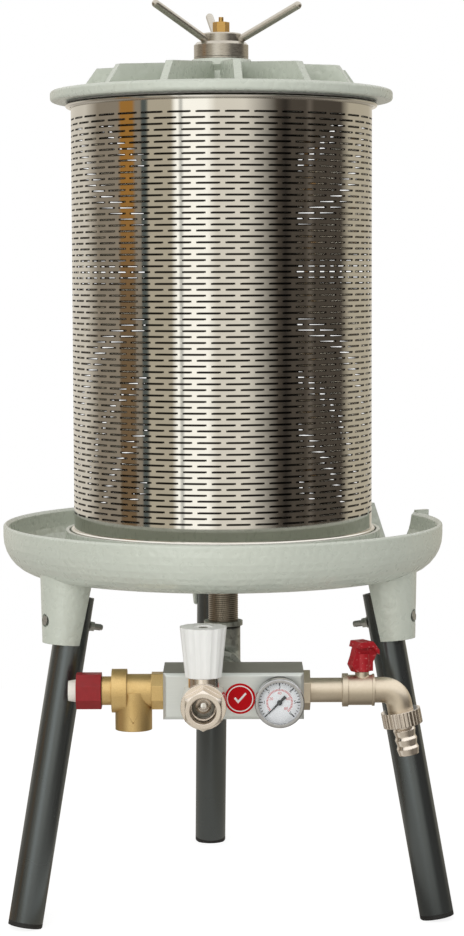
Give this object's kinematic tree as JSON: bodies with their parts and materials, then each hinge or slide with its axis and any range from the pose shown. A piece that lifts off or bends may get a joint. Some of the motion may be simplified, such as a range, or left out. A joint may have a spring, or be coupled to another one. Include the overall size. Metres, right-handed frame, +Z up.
{
  "type": "hydraulic fruit press",
  "caption": "Water-driven bladder press: a slotted steel basket with a ribbed clamped lid stands on a cast juice tray with splayed tube legs, an inlet valve, gauge, relief valve and drain tap.",
  "frame": {"origin": "on the floor, under the basket's axis", "axes": "+Z up, -Y to the front where the gauge and the inlet valve face, +X to the drain tap"},
  "size_m": [0.402, 0.4546, 0.808],
  "materials": {
    "enamel": "hammered enamel on cast metal",
    "leg_paint": "satin anthracite paint",
    "black_plastic": "matt",
    "stainless": "mirror polished",
    "zinc": "zinc plated",
    "galvanised": "galvanised malleable iron",
    "rubber": "matt black",
    "food_rubber": "food grade, pale",
    "aluminium": "sawn and bevelled bar",
    "brass": "cast and turned",
    "nickel": "nickel plated",
    "red_plastic": "satin",
    "red_label": "printed film",
    "white_plastic": "satin",
    "dial_white": "printed sheet",
    "gauge_black": "gloss black",
    "gauge_chrome": "dark chrome",
    "gauge_glass": "clear"
  },
  "bodies": {
    "stand": {"tray": "enamel", "leg_left": "leg_paint", "leg_right": "leg_paint", "leg_rear": "leg_paint", "leg_plugs": "black_plastic", "bladder_clamps": "stainless", "leg_bolts": "zinc", "leg_washers": "zinc", "leg_nuts": "zinc", "tube_collar": "zinc", "tube_lock_nut": "zinc", "pipe_elbow": "galvanised", "pipe_nipple": "galvanised", "center_tube": "galvanised", "bladder": "rubber", "seat_gasket": "rubber", "tube_seal": "rubber", "manifold_block": "aluminium", "relief_body": "brass", "relief_bonnet": "brass", "vent_plug": "brass", "gauge_stem": "brass", "bourdon_tube": "brass", "inlet_end": "nickel", "inlet_body": "nickel", "tap_bushing": "nickel", "tap_inlet": "nickel", "tap_body": "nickel", "inspection_label": "red_label", "inlet_seats": "white_plastic", "tap_seats": "white_plastic", "gauge_dial": "dial_white", "gauge_case": "gauge_black", "gauge_bezel": "gauge_chrome", "gauge_glass": "gauge_glass"},
    "vent": {"vent_screw": "brass"},
    "relief_knob": {"relief_cap": "red_plastic", "relief_tip": "white_plastic"},
    "relief_lifter": {"relief_stem": "stainless", "relief_disc": "rubber", "relief_spring": "stainless"},
    "inlet_control": {"inlet_knob": "white_plastic", "inlet_stem": "stainless", "inlet_ball": "stainless", "inlet_knob_screw": "zinc"},
    "needle": {"gauge_needle": "gauge_black"},
    "tap_control": {"tap_handle": "red_plastic", "tap_stem": "stainless", "tap_ball": "stainless", "tap_handle_screw": "zinc"},
    "hose_tail_set": {"hose_tail": "nickel", "hose_washer": "rubber"},
    "union_nut": {"hose_nut": "nickel"},
    "basket": {"basket_wall": "stainless", "basket_foot_rim": "stainless"},
    "lid_set": {"lid": "enamel", "lid_gasket": "food_rubber"},
    "slip_washer": {"nut_washer": "stainless"},
    "clamp_nut_set": {"clamp_nut": "stainless", "clamp_bars": "stainless"}
  },
  "joints": [
    {"name": "basket_lift", "type": "slide", "parent": "stand", "child": "basket", "axis": [0, 0, 1], "range_m": [0, 0.47]},
    {"name": "lid_lift", "type": "slide", "parent": "basket", "child": "lid_set", "axis": [0, 0, 1], "range_m": [0, 0.12]},
    {"name": "nut_rise", "type": "slide", "parent": "lid_set", "child": "slip_washer", "axis": [0, 0, 1], "range_m": [0, 0.0181]},
    {"name": "nut_turn", "type": "hinge", "parent": "slip_washer", "child": "clamp_nut_set", "pos_m": [0, 0, 0.77], "axis": [0, 0, 1], "range_deg": [0, 3600]},
    {"name": "vent_turn", "type": "hinge", "parent": "stand", "child": "vent", "pos_m": [0, 0, 0.78], "axis": [0, 0, 1], "range_deg": [0, 360]},
    {"name": "relief_turn", "type": "hinge", "parent": "stand", "child": "relief_knob", "pos_m": [-0.11, -0.142, 0.213], "axis": [-1, 0, 0], "range_deg": [0, 60]},
    {"name": "relief_lift", "type": "slide", "parent": "stand", "child": "relief_lifter", "axis": [-1, 0, 0], "range_m": [0, 0.0015]},
    {"name": "inlet_turn", "type": "hinge", "parent": "stand", "child": "inlet_control", "pos_m": [-0.016, -0.198, 0.24], "axis": [0, 0, 1], "range_deg": [0, 90]},
    {"name": "needle_turn", "type": "hinge", "parent": "stand", "child": "needle", "pos_m": [0.0475, -0.19, 0.211], "axis": [0, 1, 0], "range_deg": [0, 270], "stiffness_Nm_per_rad": 0.000002},
    {"name": "tap_turn", "type": "hinge", "parent": "stand", "child": "tap_control", "pos_m": [0.119, -0.142, 0.24], "axis": [0, 0, 1], "range_deg": [0, 90]},
    {"name": "tail_travel", "type": "slide", "parent": "stand", "child": "hose_tail_set", "axis": [0.1908, 0, -0.9816], "range_m": [0, 0.00725]},
    {"name": "union_turn", "type": "hinge", "parent": "hose_tail_set", "child": "union_nut", "pos_m": [0.15074, -0.142, 0.20167], "axis": [0.1908, 0, -0.9816], "range_deg": [0, 1440]}
  ],
  "couplings": [
    {"joint": "nut_turn", "follows": "nut_rise", "rad_per_m": 3463.7},
    {"joint": "union_turn", "follows": "tail_travel", "rad_per_m": 3463.7},
    {"joint": "relief_lift", "follows": "relief_turn", "m_per_rad": 0.0014324}
  ]
}
